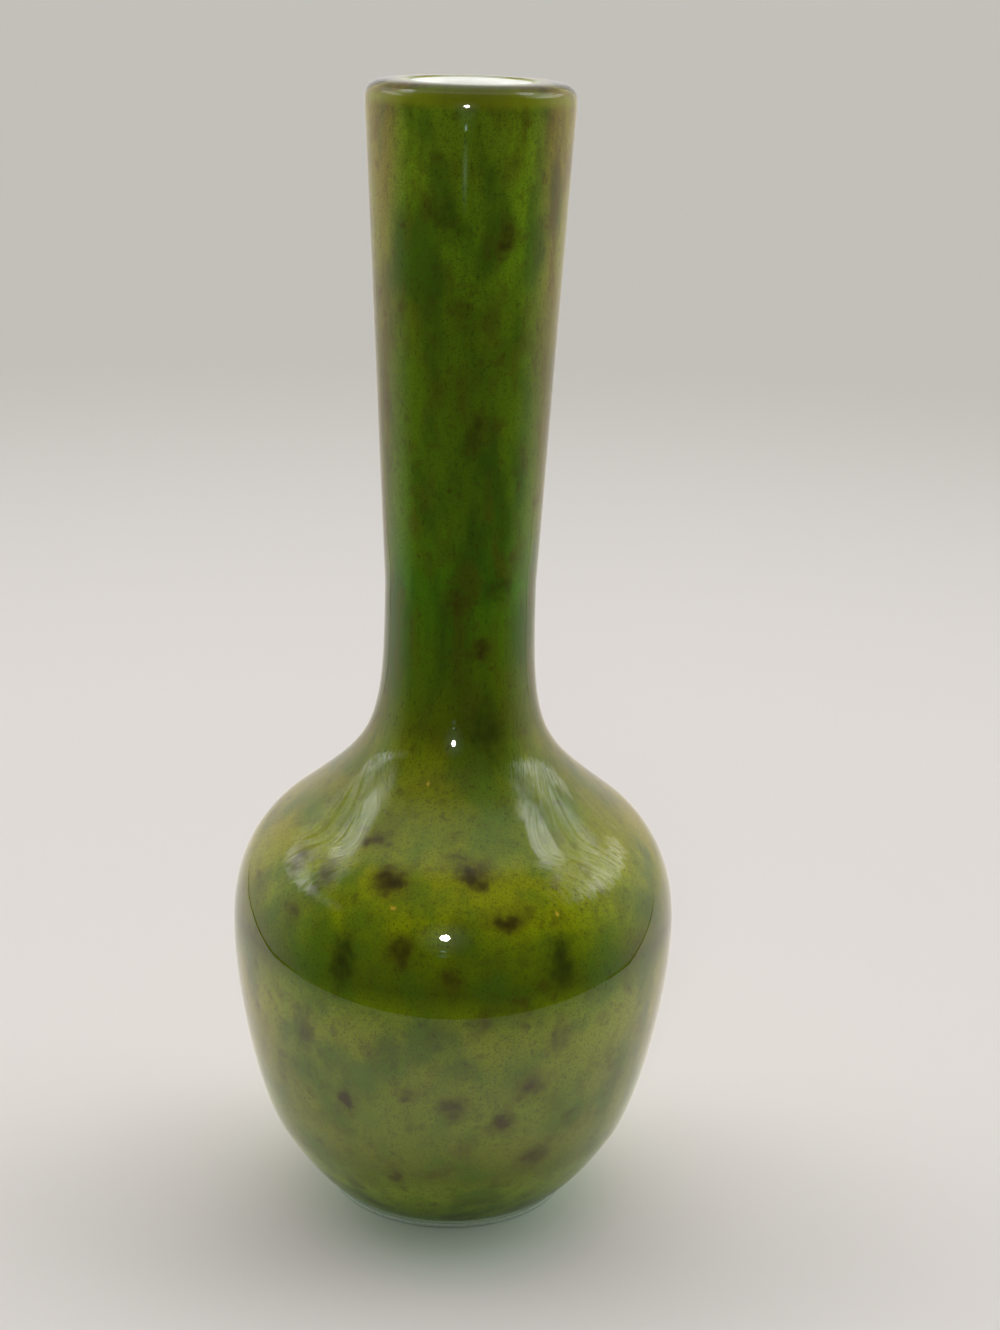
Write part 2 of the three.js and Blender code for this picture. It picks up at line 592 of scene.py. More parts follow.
    def nested(self, distance: float) -> list[Vector]:
        """A surface at a distance outside the cavity, from the axis up to just under the rim."""
        points = self.sampled(self.cavity(), distance)
        return [Vector((0.0, points[0].y)), *points[1:-1]]

    def layer(self, inner: float, outer: float, cover: float) -> list[Vector]:
        """A layer between two distances outside the cavity, whose edge lies under the rim."""
        edge = self.rim(self.bore_radius + outer, self.bore_radius + inner, cover)
        return self.nested(outer) + edge + self.nested(inner)[::-1]

    def foot(self) -> list[Vector]:
        """Outlines the underside.

        Returns:
            Points over the pontil hollow, the ground flat and the foot ring.
        """
        radius, edge = self.foot_radius, self.foot_edge_round
        across = shares(self.pontil_steps)
        hollow = [(self.pontil_radius * share, self.pontil_depth * (1 - share**2)) for share in across]
        turns = [math.radians(90 * share) for share in shares(self.foot_edge_steps)]
        rounded = [(radius - edge * (1 - math.sin(turn)), edge * (1 - math.cos(turn))) for turn in turns]
        return [Vector(at) for at in (*hollow, *rounded, (radius, self.foot_ring_height - edge))]

    def lip(self) -> list[Vector]:
        """Outlines the thick lip.

        Returns:
            Points from the top of the neck over its squarish shoulder to the crest.
        """
        power = 2 / self.lip_squareness
        points = []
        for share in shares(self.lip_steps)[1:]:
            angle = math.radians(90 * share)
            outward, upward = max(0.0, math.cos(angle)) ** power, math.sin(angle) ** power
            radius = self.crest_radius + (self.mouth_radius - self.crest_radius) * outward
            points.append(Vector((radius, self.height - self.lip_round_height * (1 - upward))))
        return points

    def casing(self, inner: float) -> list[Vector]:
        """The casing, whose inside lies at a distance outside the cavity."""
        inside = self.rim(self.crest_radius, self.bore_radius + inner, 0.0)[1:] + self.nested(inner)[::-1]
        return self.foot() + self.sampled(self.outside(), 0.0) + self.lip() + inside


@dataclass(frozen=True)
class GlassLayer:
    """One turned layer: its name, the frame's node that it stands for, a slot name that is not used, its
    facets and the angle in degrees above which an edge stays sharp.
    """

    name: str
    node: str
    slot: str
    facets: int = 192
    sharp: float = 40.0

    def turn(self, outline: Sequence[Vector], material: Material) -> Object:
        """Turns an outline about the axis into a closed piece that rides on the body.

        Args:
            outline: Radii and heights, from the axis round and back to the axis.
            material: The piece's finish.

        Returns:
            The piece.
        """
        facets = self.facets
        ways = [toward(360 * facet / facets) for facet in range(facets)]
        points: list[Vector] = []
        rings: list[list[int]] = []
        for at in outline:
            first, rise = len(points), Vector((0.0, 0.0, at.y))
            if at.x < ON_AXIS:
                points.append(rise)
                rings.append([first] * facets)
            else:
                points += [way * at.x + rise for way in ways]
                rings.append(list(range(first, first + facets)))
        faces = []
        for lower, upper in zip(rings, rings[1:]):
            for facet in range(facets):
                after = (facet + 1) % facets
                loop = (lower[facet], lower[after], upper[after], upper[facet])
                faces.append(list(dict.fromkeys(loop)))
        piece = new_object(self.name, points, faces)
        piece.data.shade_smooth()
        piece.data.set_sharp_from_angle(angle=math.radians(self.sharp))
        piece.data.materials.append(material)
        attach(piece, BODY)
        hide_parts(self.node)
        return piece


@dataclass(frozen=True)
class ClearGlass:
    """The casing's finish: fire-polished clear glass with the faint waves of blowing."""

    tint: Colour = (0.97, 0.99, 0.975)
    shade: Colour = (0.93, 0.97, 0.94)
    roughness: float = 0.0
    ior: float = 1.52
    seeds: Clouds = Clouds(0.0011, 1.0, (0.7, 0.78))
    wave_size: float = 0.022
    wave_depth: float = 0.00012
    ground: Colour = (0.56, 0.66, 0.54)
    ground_shade: Colour = (0.42, 0.50, 0.41)
    ground_grain: Grain = Grain(0.0004, 0.5)
    ground_roughness: float = 0.7
    ground_top: Span = (0.00095, 0.0006)

    def material(self, effects: SharedEffects) -> Material:
        """Makes the finish.

        Args:
            effects: The effects that the layers share.

        Returns:
            The material. Lamps shine through it, so that the colour beneath is lit. The ring
            of the foot is ground, so it is matt.
        """
        material, net, glass = new_material("clear_glass")
        place = net.place()
        ripple = net.group(effects.blown_ripple, Place=place, Wave_Size=self.wave_size)
        colour = net.mix(self.seeds.mask(net, place), self.tint, self.shade)
        net.fill(glass, Base_Color=colour, Normal=net.bump(ripple, self.wave_depth))
        net.fill(glass, Roughness=self.roughness, IOR=self.ior, Transmission_Weight=1.0)
        path = net.add("ShaderNodeLightPath").outputs
        lit = net.math("MAXIMUM", path["Is Shadow Ray"], path["Is Diffuse Ray"])
        open_way = net.add("ShaderNodeBsdfTransparent", self.tint)
        polished = net.mix_shaders(lit, glass, open_way)
        grain = self.ground_grain.mask(net, place, effects)
        ground = net.add("ShaderNodeBsdfPrincipled")
        matt = net.mix(grain, self.ground, self.ground_shade)
        net.fill(ground, Base_Color=matt, Roughness=self.ground_roughness)
        on_ring = net.step(net.parts(place)[2], *self.ground_top)
        whole = net.mix_shaders(on_ring, polished, ground)
        net.fill(material.node_tree.nodes["Material Output"], Surface=whole.outputs["Shader"])
        return material


class ChipTone(Enum):
    """The colours of the coloured chips that are melted into the powder."""

    BROWN = "brown"
    GREEN = "green"
    YELLOW = "yellow"


@dataclass(frozen=True)
class Chip:
    """One chip of coloured glass, flattened in the wall where the powder lies."""

    azimuth: float
    height: float
    width: float
    length: float
    strength: float
    tone: ChipTone = ChipTone.BROWN


@dataclass(frozen=True)
class MottledGreen:
    """The colour layer's finish: green powder with soft brown, dark and yellow chips."""

    # Tones by height: partly the powder's own colour, partly painted light and shade, lighter or darker in
    # bands where the light falls more or less.
    tones: tuple[tuple[float, int, int, int], ...] = (
        (0.000, 140, 172, 36),
        (0.010, 157, 182, 40),
        (0.016, 120, 133, 40),
        (0.021, 133, 146, 42),
        (0.030, 138, 156, 42),
        (0.036, 141, 157, 38),
        (0.043, 158, 171, 34),
        (0.047, 152, 169, 30),
        (0.050, 135, 159, 22),
        (0.054, 96, 116, 16),
        (0.057, 118, 142, 15),
        (0.061, 139, 162, 14),
        (0.064, 162, 177, 14),
        (0.070, 161, 167, 14),
        (0.076, 136, 151, 20),
        (0.082, 145, 153, 22),
        (0.087, 143, 158, 22),
        (0.091, 117, 135, 18),
        (0.103, 105, 139, 20),
        (0.116, 97, 153, 22),
        (0.128, 114, 155, 26),
        (0.152, 113, 147, 26),
        (0.164, 123, 157, 26),
        (0.175, 136, 181, 30),
        (0.186, 138, 172, 32),
    )
    top_tone: float = 0.2
    neck_rise: Span = (0.078, 0.112)
    body_draw: Triple = (1.0, 1.0, 0.75)
    neck_draw: Triple = (1.3, 1.3, 0.5)
    clouds: Clouds = Clouds(0.009, 4.0, (0.42, 0.68))
    cloud_share: float = 0.75
    deep: Colour = linear(90, 128, 30)
    neck_deep: Colour = linear(66, 104, 24)
    stains: Clouds = Clouds(0.0042, 4.0, (0.47, 0.7))
    stain_share: float = 0.4
    neck_stain_gain: float = 0.2
    stain: Colour = linear(104, 106, 26)
    brown: Colour = linear(92, 82, 22)
    core: Colour = linear(60, 55, 18)
    moss: Colour = linear(60, 72, 18)
    fleck: Colour = linear(232, 200, 60)
    bend_size: float = 0.003
    bend_detail: float = 2.5
    bend_reach: float = 0.0040
    powder_depth: float = 0.0024
    chip_depth: float = 0.005
    chip_spread: float = 0.75
    chip_fade: float = 1.5
    chip_gain: float = 1.3
    chip_edge: Span = (0.0, 1.1)
    core_edge: Span = (0.4, 1.2)
    ragged_size: float = 0.0016
    ragged_detail: float = 3.0
    ragged_least: float = 0.6
    ragged_gain: float = 0.8
    far_chips: Spots = Spots(0.0115, 0.0042, 0.5)
    far_start: Span = (-0.008, 0.012)
    specks: Spots = Spots(0.0024, 0.0009, 0.3)
    speck_share: float = 0.55
    coarse: Grain = Grain(0.0006, 0.45, 0.48)
    fine: Grain = Grain(0.0003, 0.5, 0.6)
    # Painted shade at the edges: where the layer turns away from view, the colour is darkened on the body
    # and tinted redder and less green on the neck.
    body_edge_painted_shade: Colour = (0.94, 0.64, 0.54)
    neck_edge_painted_shade: Colour = (1.28, 0.66, 0.84)
    body_edge: Span = (0.13, 0.30)
    neck_edge: Span = (0.17, 0.42)
    edge_rise: Span = (0.018, 0.036)
    # Painted light: a yellow-green band just under the rim that stands in for light carried down through
    # the clear lip.
    rim_painted_light: Colour = linear(158, 166, 34)
    rim_rise: Span = (0.1957, 0.1972)
    rim_share: float = 0.85
    roughness: float = 0.6

    def material(self, effects: SharedEffects, chips: Sequence[Chip], shape: VaseShape) -> Material:
        """Makes the finish.

        Args:
            effects: The effects that the layers share.
            chips: The chips.
            shape: The vase's outlines, which say how far from the axis each chip lies.

        Returns:
            The material.
        """
        material, net, glass = new_material("mottled_green_glass")
        place = net.place()
        _, depth, height = net.parts(place)
        on_neck = net.step(height, *self.neck_rise)
        body, neck = (net.vector("MULTIPLY", place, draw) for draw in (self.body_draw, self.neck_draw))
        drawn = net.mix(on_neck, body, neck, Kind.VECTOR)
        shaded = net.times(self.clouds.mask(net, drawn), self.cloud_share)
        deep = net.mix(on_neck, self.deep, self.neck_deep)
        # The height tones carry painted light and shade as well as the powder's colour.
        colour = net.mix(shaded, self.toned_with_painted_shade(net, height), deep)
        stained = net.math("MULTIPLY_ADD", on_neck, self.neck_stain_gain, self.stain_share)
        stained = net.times(self.stains.mask(net, drawn), stained)
        colour = net.mix(stained, colour, self.stain)
        bent = self.bent(net, place)
        specks = net.times(self.specks.mask(net, bent), self.speck_share)
        colour = net.mix(specks, colour, self.brown)
        masks = self.chip_masks(net, place, bent, chips, shape)
        far = net.times(net.step(depth, *self.far_start), self.far_chips.mask(net, bent))
        masks[ChipTone.BROWN] = net.math("MAXIMUM", masks[ChipTone.BROWN], far)
        ragged = net.noise(place, self.ragged_size, self.ragged_detail)
        ragged = net.math("MULTIPLY_ADD", ragged, self.ragged_gain, self.ragged_least)
        shades = {ChipTone.BROWN: self.brown, ChipTone.GREEN: self.moss, ChipTone.YELLOW: self.fleck}
        for tone, smooth in masks.items():
            mask = net.times(smooth, ragged)
            colour = net.mix(net.step(mask, *self.chip_edge), colour, shades[tone])
            if tone is ChipTone.BROWN:
                colour = net.mix(net.step(mask, *self.core_edge), colour, self.core)
        for grain, at, shade in ((self.coarse, drawn, self.moss), (self.fine, place, self.brown)):
            colour = net.mix(net.times(grain.mask(net, at, effects), grain.share), colour, shade)
        # Painted shade: where the layer turns away from view, the colour is multiplied towards the edge
        # shade.
        facing = net.add("ShaderNodeLayerWeight").outputs["Facing"]
        on_body = net.times(net.step(facing, *self.body_edge), net.step(height, *self.edge_rise))
        turned = net.mix(on_neck, on_body, net.step(facing, *self.neck_edge), Kind.NUMBER)
        edge_painted_shade = net.mix(on_neck, self.body_edge_painted_shade, self.neck_edge_painted_shade)
        colour = net.vector("MULTIPLY", colour, net.mix(turned, (1.0, 1.0, 1.0), edge_painted_shade))
        # Painted light just under the rim.
        near_rim = net.times(net.step(height, *self.rim_rise), self.rim_share)
        colour = net.mix(near_rim, colour, self.rim_painted_light)
        net.fill(glass, Base_Color=colour, Roughness=self.roughness, Specular_IOR_Level=0.0)
        return material

    def toned_with_painted_shade(self, net: Wiring, height: Socket) -> Socket:
        """The powder's colour at a height, in which the tones also carry painted light and shade.

        Args:
            net: The material's wiring.
            height: The shaded point's height.

        Returns:
            The colour, blended between the tones below and above.
        """
        ramp = net.add("ShaderNodeValToRGB", net.math("DIVIDE", height, self.top_tone))
        stops = ramp.color_ramp.elements
        stops.remove(stops[1])
        for index, (level, *tone) in enumerate(self.tones):
            stop = stops[0] if index == 0 else stops.new(level / self.top_tone)
            stop.position = level / self.top_tone
            stop.color = (*linear(*tone), 1.0)
        return ramp.outputs["Color"]

    def bent(self, net: Wiring, place: Socket) -> Socket:
        """Shifts each point by noise, so that no chip keeps a plain oval outline.

        Args:
            net: The material's wiring.
            place: Where the shaded point is.

        Returns:
            The shifted point.
        """
        noise = net.noise(place, self.bend_size, self.bend_detail, output="Color")
        away = net.vector("SUBTRACT", noise, (NOISE_MEAN,) * 3)
        return net.vector("MULTIPLY_ADD", away, (self.bend_reach,) * 3, place)

    def chip_masks(
        self, net: Wiring, place: Socket, bent: Socket, chips: Sequence[Chip], shape: VaseShape
    ) -> dict[ChipTone, Socket]:
        """Lays the chips over the layer.

        Args:
            net: The material's wiring.
            place: Where the shaded point is. The tiny yellow flecks are read here.
            bent: The same point bent by noise, so that no larger chip is a plain oval.
            chips: The chips.
            shape: The vase's outlines.

        Returns:
            For each tone the mask of its chips: 0 off them, rising to their strength inside.
        """
        profile = shape.sampled(shape.outside(), -self.powder_depth)
        masks: dict[ChipTone, Socket] = {}
        for chip in chips:
            radius = min(profile, key=lambda at: abs(at.y - chip.height)).x
            centre = toward(chip.azimuth) * radius
            centre.z = chip.height
            radii = (chip.width * self.chip_spread, self.chip_depth, chip.length * self.chip_spread)
            read = place if chip.tone is ChipTone.YELLOW else bent
            away = net.from_oval(read, centre, (0.0, 0.0, chip.azimuth), radii)
            mask = net.step(away, self.chip_fade, 0.0, min(1.0, chip.strength * self.chip_gain))
            known = masks.get(chip.tone)
            masks[chip.tone] = mask if known is None else net.math("MAXIMUM", known, mask)
        return masks


@dataclass(frozen=True)
class OpalGlass:
    """The lining's finish: glossy opaque white with faint clouds and a slightly pitted skin."""

    white: Colour = linear(240, 240, 234)
    cloud: Colour = linear(214, 216, 208)
    clouds: Clouds = Clouds(0.006, 3.0, (0.4, 0.75))
    roughness: float = 0.12
    pits: Grain = Grain(0.0009, 0.46, 0.3)
    pit_depth: float = 0.00012
    wave_size: float = 0.012
    # Painted light: the lining glows by emission near the rim, though it is no lamp.
    glow: float = 0.45
    painted_glow_rise: Span = (0.185, 0.2)

    def material(self, effects: SharedEffects) -> Material:
        """Makes the finish. Near the rim it is given painted light: an emission that stands in for the
        light that the wall carries up.

        Args:
            effects: The effects that the layers share.

        Returns:
            The material.
        """
        material, net, glass = new_material("opal_glass")
        place = net.place()
        pits = self.pits.mask(net, place, effects)
        ripple = net.group(effects.blown_ripple, Place=place, Wave_Size=self.wave_size)
        relief = net.math("MULTIPLY_ADD", pits, self.pits.share, ripple)
        colour = net.mix(self.clouds.mask(net, place), self.white, self.cloud)
        # Painted light near the rim.
        glow = net.times(net.step(net.parts(place)[2], *self.painted_glow_rise), self.glow)
        normal = net.bump(relief, self.pit_depth)
        net.fill(glass, Base_Color=colour, Roughness=self.roughness, Normal=normal)
        net.fill(glass, Emission_Color=self.white, Emission_Strength=glow)
        return material


@dataclass(frozen=True)
class Vase:
    """The whole vase: lining, colour layer and casing, fused without a gap."""

    shape: VaseShape
    effects: SharedEffects
    lining_thickness: float = 0.0012
    colour_inside: float = 0.001
    colour_outside: float = 0.00265
    colour_cover: float = 0.0012
    casing_inside: float = 0.0006
    lining_cover: float = 0.00006

    def build(self) -> list[Object]:
        """Builds and dresses the three layers.

        Returns:
            The lining, the colour layer and the casing.
        """
        shape, effects = self.shape, self.effects
        layers = (
            (
                GlassLayer("white_lining", "opal_lining", "opal_glass"),
                shape.layer(0.0, self.lining_thickness, self.lining_cover),
                OpalGlass().material(effects),
            ),
            (
                GlassLayer("mottled_colour", "green_colour_layer", "mottled_green_glass"),
                shape.layer(self.colour_inside, self.colour_outside, self.colour_cover),
                MottledGreen().material(effects, CHIPS, shape),
            ),
            (
                GlassLayer("clear_cover", "clear_casing", "clear_glass"),
                shape.casing(self.casing_inside),
                ClearGlass().material(effects),
            ),
        )
        return [layer.turn(outline, finish) for layer, outline, finish in layers]


CHIPS: tuple[Chip, ...] = (
    Chip(-19.5, 0.0701, 0.0056, 0.0040, 0.95),
    Chip(6.5, 0.0712, 0.0050, 0.0038, 0.85),
    Chip(1, 0.0735, 0.0040, 0.0016, 0.5),
    Chip(-31, 0.0745, 0.0044, 0.0040, 0.6),
    Chip(14.8, 0.0652, 0.0045, 0.0032, 0.7),
    Chip(-29, 0.0570, 0.0038, 0.0080, 0.75, ChipTone.GREEN),
    Chip(-13, 0.0605, 0.0040, 0.0052, 0.6),
    Chip(0, 0.0565, 0.0034, 0.0056, 0.5),
    Chip(29, 0.058, 0.0050, 0.0075, 0.7, ChipTone.GREEN),
    Chip(-41, 0.0425, 0.0040, 0.0066, 0.6),
    Chip(-29, 0.0310, 0.0032, 0.0050, 0.7),
    Chip(1, 0.032, 0.0046, 0.0046, 0.6),
    Chip(14.5, 0.0286, 0.0038, 0.0050, 0.7),
    Chip(22, 0.0360, 0.0046, 0.0052, 0.6),
    Chip(27, 0.0200, 0.0048, 0.0052, 0.6),
    Chip(3, 0.023, 0.0028, 0.0044, 0.4),
    Chip(-11, 0.034, 0.0022, 0.0026, 0.5),
    Chip(-17, 0.0150, 0.0026, 0.0044, 0.6),
    Chip(-37, 0.010, 0.0036, 0.0030, 0.5),
    Chip(-5, 0.017, 0.0046, 0.0020, 0.4),
    Chip(35, 0.027, 0.0032, 0.0030, 0.5),
    Chip(-55, 0.0690, 0.0050, 0.0040, 0.5),
    Chip(-41, 0.0690, 0.0036, 0.0044, 0.5),
    Chip(-48, 0.0625, 0.0042, 0.0056, 0.5),
    Chip(-23, 0.043, 0.0030, 0.0034, 0.4),
    Chip(-5, 0.046, 0.0032, 0.0032, 0.3),
    Chip(8, 0.049, 0.0044, 0.0034, 0.4),
    Chip(16, 0.052, 0.0036, 0.0034, 0.4),
    Chip(29, 0.045, 0.0044, 0.0060, 0.4),
    Chip(31, 0.176, 0.0034, 0.0052, 0.7),
    Chip(-18, 0.179, 0.0038, 0.0060, 0.7, ChipTone.GREEN),
    Chip(-7, 0.178, 0.0034, 0.0032, 0.5, ChipTone.GREEN),
    Chip(40, 0.194, 0.0026, 0.0120, 0.6),
    Chip(35, 0.188, 0.0026, 0.0080, 0.5),
    Chip(-9, 0.164, 0.0030, 0.0050, 0.45),
    Chip(-28, 0.181, 0.0026, 0.0060, 0.45),
    Chip(9, 0.144, 0.0026, 0.0060, 0.5, ChipTone.GREEN),
    Chip(-22, 0.150, 0.0028, 0.0060, 0.45),
    Chip(35, 0.117, 0.0032, 0.0040, 0.5, ChipTone.GREEN),
    Chip(-4, 0.115, 0.0040, 0.0060, 0.5),
    Chip(18, 0.106, 0.0034, 0.0034, 0.6),
    Chip(22, 0.090, 0.0046, 0.0120, 0.6, ChipTone.GREEN),
    Chip(-32, 0.165, 0.0024, 0.0040, 0.4),
    Chip(-16, 0.0830, 0.0006, 0.0006, 1.0, ChipTone.YELLOW),
    Chip(29.5, 0.0655, 0.0006, 0.0006, 1.0, ChipTone.YELLOW),
    Chip(-17, 0.0668, 0.0009, 0.0005, 0.8, ChipTone.YELLOW),
)


@dataclass(frozen=True)
class PhotoCamera:
    """The camera as the photograph has it, solved for a picture 1000 wide and 1330 high."""

    place: Triple = (0.0, -0.39071, 0.2245)
    pitch: float = 17.7065
    yaw: float = 1.0667
    roll: float = 1.5723
    focal_pixels: float = 2323.6
    picture_height: float = 1330.0
    sensor: float = 36.0
    nearest: float = 0.01
    farthest: float = 100.0

    def build(self) -> None:
        """Makes the camera and sets it as the scene's camera."""
        data = bpy.data.cameras.new("photo_camera")
        data.sensor_width = self.sensor
        data.lens = self.focal_pixels / self.picture_height * self.sensor
        data.clip_start, data.clip_end = self.nearest, self.farthest
        camera = bpy.data.objects.new("photo_camera", data)
        turn = Matrix.Rotation(math.radians(-self.yaw), 4, "Z")
        nod = Matrix.Rotation(math.radians(90 - self.pitch), 4, "X")
        roll = Matrix.Rotation(math.radians(self.roll), 4, "Z")
        camera.matrix_world = Matrix.Translation(self.place) @ turn @ nod @ roll
        bpy.context.scene.collection.objects.link(camera)
        bpy.context.scene.camera = camera


@dataclass(frozen=True)
class Softbox:
    """One bright patch of the tent: an oval in azimuth and elevation, all in degrees."""

    azimuth: float
    elevation: float
    half_width: float
    half_height: float
    radiance: float
    tilt: float = 0.0
    softness: float = 0.22


@dataclass(frozen=True)
class Room:
    """The pale tent round the vase: dark and open in front, with softboxes on both sides."""

    backdrop: Colour = linear(193, 190, 186)
    paper: Colour = linear(226, 223, 220)
    lamp_white: Colour = linear(216, 215, 214)
    front: float = 0.02
    haze: float = 0.13
    wall: float = 1.08
    low_wall: Span = (-12.0, 8.0)
    low_wall_shade: float = 0.8
    ceiling: float = 0.95
    rear_ceiling: float = 0.45
    left_wall: Span = (-66.0, -116.0)
    right_wall: Span = (62.0, 122.0)
    rear_wall: Span = (90.0, 130.0)
    haze_rise: Span = (25.0, 62.0)
    ceiling_rise: Span = (65.0, 84.0)
    ceiling_sag: float = 0.002
    front_fill: float = 0.06
    light_gain: float = 1.05
    rear_fill: float = 2.0
    rear_side: Span = (100.0, 150.0)
    rear_rise: Span = (15.0, 45.0)
    fibre_size: float = 3.0
    fibre_detail: float = 4.0
    fibre_draw: Triple = (1.0, 0.22, 1.0)
    fibre_depth: float = 4.0
    ruffle: float = 2.4
    ceiling_ruffle: float = 14.0
    softboxes: tuple[Softbox, ...] = (
        Softbox(104, 40, 30, 18, 1.7, 0, 0.35),
        Softbox(107, 27, 27, 7.0, 3.4, -10, 0.15),
        Softbox(106, 35, 25, 6.5, 3.2, 8, 0.3),
        Softbox(97, 29.5, 10, 4.0, 5.2, -6, 0.6),
        Softbox(88, 48.5, 12, 3.0, 2.0, 16, 0.5),
        Softbox(108, 56.5, 20, 7.0, 5.4, 6, 0.25),
        Softbox(-112, 35, 26, 13, 1.8, 0, 0.4),
        Softbox(-84, 24, 16, 3.5, 0.9, 5, 0.6),
        Softbox(-106, 24, 19, 6.0, 3.3, 0, 0.22),
        Softbox(-96, 23.5, 9, 3.0, 4.2, 8, 0.6),
        Softbox(-94, 45, 12, 8.5, 1.9, -30, 0.35),
        Softbox(-112, 49.5, 16, 6.5, 5.6, -12, 0.35),
    )

    def build(self) -> None:
        """Makes the world: the backdrop for the camera and the tent for light and reflections."""
        world = bpy.data.worlds.new("room")
        world.use_nodes = True
        bpy.context.scene.world = world
        net = Wiring(world.node_tree)
        x, y, z = net.parts(net.add("ShaderNodeTexCoord").outputs["Generated"])
        azimuth = net.math("DEGREES", net.math("ARCTAN2", x, net.times(y, -1.0)))
        elevation = net.math("DEGREES", net.math("ARCSINE", z))
        angles = net.add("ShaderNodeCombineXYZ", azimuth, elevation).outputs[0]
        drawn = net.vector("MULTIPLY", angles, self.fibre_draw)
        ruffled = net.math("SUBTRACT", net.noise(drawn, self.fibre_size, self.fibre_detail), NOISE_MEAN)
        fibre = net.math("MULTIPLY_ADD", ruffled, self.fibre_depth, 1.0)
        colour = self.paper_walls(net, azimuth, elevation, ruffled)
        frayed = net.times(ruffled, self.ruffle)
        for box in self.softboxes:
            centre, radii = (box.azimuth, box.elevation, 0.0), (box.half_width, box.half_height, 1.0)
            away = net.math("ADD", net.from_oval(angles, centre, (0.0, 0.0, box.tilt), radii), frayed)
            inside = net.step(away, 1 + box.softness, 1 - box.softness)
            glow = net.scale(scaled(self.lamp_white, box.radiance), fibre)
            colour = net.mix(inside, colour, glow)
        path = net.add("ShaderNodeLightPath").outputs
        seen = net.math("MAXIMUM", path["Is Camera Ray"], path["Is Transmission Ray"])
        rear = net.step(net.math("ABSOLUTE", azimuth), *self.rear_side)
        high = net.times(rear, net.step(elevation, *self.rear_rise))
        fill = net.math("MULTIPLY_ADD", high, self.rear_fill, self.front_fill)
        lighting = net.vector("ADD", colour, net.scale(self.paper, fill))
        lighting = net.scale(lighting, self.light_gain)
        light = net.mix(path["Is Glossy Ray"], lighting, colour)
        net.fill(world.node_tree.nodes["Background"], Color=net.mix(seen, light, self.backdrop))

    def paper_walls(self, net: Wiring, azimuth: Socket, elevation: Socket, ruffled: Socket) -> Socket:
        """The tent's paper: pale at the sides and overhead, dark towards the camera.

        Args:
            net: The world's wiring.
            azimuth: Degrees round from the camera's side.
            elevation: Degrees above the horizon.
            ruffled: Noise about 0 that breaks up the edge of the overhead paper.

        Returns:
            The paper's colour.
        """
        level = net.math("MULTIPLY_ADD", net.step(elevation, *self.haze_rise), self.haze, self.front)
        left, right = (net.step(azimuth, *wall) for wall in (self.left_wall, self.right_wall))
        side = net.math("MAXIMUM", left, right)
        sag = net.times(net.times(azimuth, azimuth), self.ceiling_sag)
        uneven = net.math("MULTIPLY_ADD", ruffled, self.ceiling_ruffle, net.math("ADD", elevation, sag))
        above = net.step(uneven, *self.ceiling_rise)
        risen = net.step(elevation, *self.low_wall)
        low = net.math("MULTIPLY_ADD", risen, 1 - self.low_wall_shade, self.low_wall_shade)
        wall = net.scale(scaled(self.paper, self.wall), low)
        shade = net.mix(side, net.scale(self.paper, level), wall)
        behind = net.step(net.math("ABSOLUTE", azimuth), *self.rear_wall)
        ceiling = (scaled(self.paper, share) for share in (self.ceiling, self.rear_ceiling))
        return net.mix(above, shade, net.mix(behind, *ceiling))


class Ray(Enum):
    """The kinds of light path that a sheet of the set can be hidden from."""

    CAMERA = "visible_camera"
    DIFFUSE = "visible_diffuse"
    GLOSSY = "visible_glossy"
    TRANSMISSION = "visible_transmission"
    SHADOW = "visible_shadow"


BUT_MIRRORED = (Ray.CAMERA, Ray.DIFFUSE, Ray.TRANSMISSION, Ray.SHADOW)


def put_in_set(sheet: Object, paint: Material, hidden: Sequence[Ray]) -> None:
    """Hides a sheet of the set from some kinds of light path and gives it its paint.

    Args:
        sheet: The sheet.
        paint: Its material.
        hidden: The kinds of light path that don't meet it.
    """
    for ray in hidden:
        setattr(sheet, ray.value, False)
    sheet.data.materials.append(paint)


@dataclass(frozen=True)
class TablePaint:
    """One look of the table: colours near and far with painted light falloff between them, and a painted
    shadow round the vase's foot, tinted green.
    """

    near: Colour
    far: Colour
    fade: Span
    foot_painted_shadow: Colour
    painted_shadow_reach: Span


